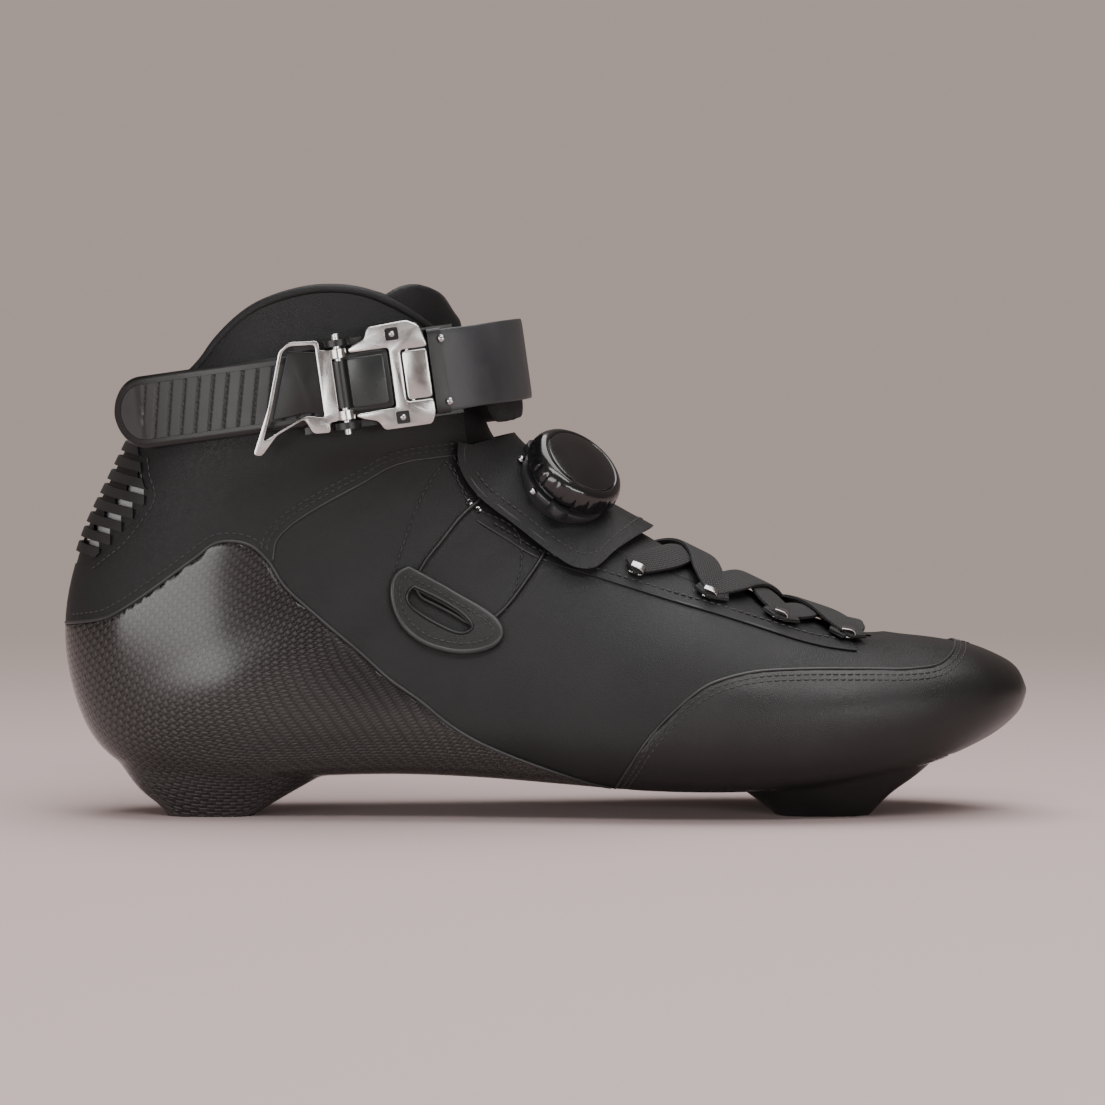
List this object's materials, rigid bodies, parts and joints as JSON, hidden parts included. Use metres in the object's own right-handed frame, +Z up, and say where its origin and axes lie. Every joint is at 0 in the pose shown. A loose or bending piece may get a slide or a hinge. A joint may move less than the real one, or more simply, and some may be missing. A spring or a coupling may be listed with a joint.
{
  "type": "speed skate boot",
  "caption": "Low-cut black speed-skating boot with carbon shell, mounting blocks, flat laces, lacing dial and ratchet ankle strap; no blade.",
  "frame": {"origin": "on the ground plane, under the middle of the bounding box", "axes": "+X to the toe, +Y to the inner side of the foot, +Z up; a right boot"},
  "size_m": [0.3, 0.1006, 0.1666],
  "materials": {
    "carbon": "clear-coated carbon weave",
    "leather": "matte black fine grain",
    "toe_leather": "smooth black, half gloss",
    "lining": "brushed knit",
    "rubber": "matte ribbed",
    "black_plastic": "moulded, half gloss",
    "grey_plastic": "satin moulded",
    "silver": "polished",
    "steel": "polished",
    "webbing": "flat woven"
  },
  "bodies": {
    "boot": {"carbon_shell": "carbon", "ankle_panel_outer": "leather", "ankle_panel_inner": "leather", "quarter_outer": "leather", "quarter_inner": "leather", "vamp": "leather", "tongue": "leather", "eyestay_outer": "leather", "eyestay_inner": "leather", "instep_flap": "leather", "collar_binding": "leather", "toe_cap": "toe_leather", "padded_liner": "lining", "insole": "lining", "strap_pad": "lining", "achilles_flex_insert": "rubber", "dial_base": "black_plastic", "buckle_base": "black_plastic", "strap_anchor": "black_plastic", "cable_guide_outer": "black_plastic", "cable_guide_inner": "black_plastic", "buckle_frame": "silver", "reflective_backing": "silver", "heel_insert": "steel", "toe_insert": "steel", "lever_pin": "steel", "tab_pin": "steel", "band_rivet_upper": "steel", "band_rivet_lower": "steel", "anchor_screw_upper": "steel", "anchor_screw_lower": "steel", "dial_cable_outer": "steel", "dial_cable_inner": "steel", "lace_hook_outer_1": "steel", "lace_hook_outer_2": "steel", "lace_hook_outer_3": "steel", "lace_hook_outer_4": "steel", "lace_hook_inner_1": "steel", "lace_hook_inner_2": "steel", "lace_hook_inner_3": "steel", "lace_hook_inner_4": "steel", "lace": "webbing", "strap_band": "webbing"},
    "dial_hub": {"dial_drive_hub": "steel"},
    "dial_knob": {"dial_knob": "black_plastic", "dial_cap": "black_plastic"},
    "dial_spool": {"dial_spool": "grey_plastic"},
    "lever": {"buckle_lever": "silver", "lever_web": "black_plastic"},
    "pawl": {"drive_pawl": "steel"},
    "release_tab": {"release_tab": "silver"},
    "ladder": {"ladder_strap": "grey_plastic"}
  },
  "joints": [
    {"name": "dial_turn", "type": "hinge", "parent": "boot", "child": "dial_hub", "pos_m": [0.00455, -0.00979, 0.10228], "axis": [0.5264, -0.5039, 0.6849], "continuous": true},
    {"name": "dial_pull", "type": "slide", "parent": "dial_hub", "child": "dial_knob", "axis": [0.5264, -0.5039, 0.6849], "range_m": [0, 0.0025]},
    {"name": "spool_turn", "type": "hinge", "parent": "boot", "child": "dial_spool", "pos_m": [0.00455, -0.00979, 0.10228], "axis": [0.5264, -0.5039, 0.6849], "continuous": true},
    {"name": "lever_open", "type": "hinge", "parent": "boot", "child": "lever", "pos_m": [-0.06226, -0.04742, 0.1342], "axis": [-0.1392, 0, 0.9903], "range_deg": [0, 75], "stiffness_Nm_per_rad": 0.02},
    {"name": "pawl_lift", "type": "hinge", "parent": "boot", "child": "pawl", "pos_m": [-0.06226, -0.04742, 0.1342], "axis": [0.1392, 0, -0.9903], "range_deg": [0, 15], "stiffness_Nm_per_rad": 0.01},
    {"name": "tab_press", "type": "hinge", "parent": "boot", "child": "release_tab", "pos_m": [-0.04183, -0.0435, 0.13707], "axis": [-0.1392, 0, 0.9903], "range_deg": [0, 8], "stiffness_Nm_per_rad": 0.01},
    {"name": "ladder_feed", "type": "hinge", "parent": "boot", "child": "ladder", "pos_m": [-0.07018, 0.06861, 0.13309], "axis": [0.1392, 0, -0.9903], "range_deg": [0, 7.2]}
  ],
  "couplings": [
    {"joint": "spool_turn", "follows": "dial_turn", "ratio": 1}
  ]
}
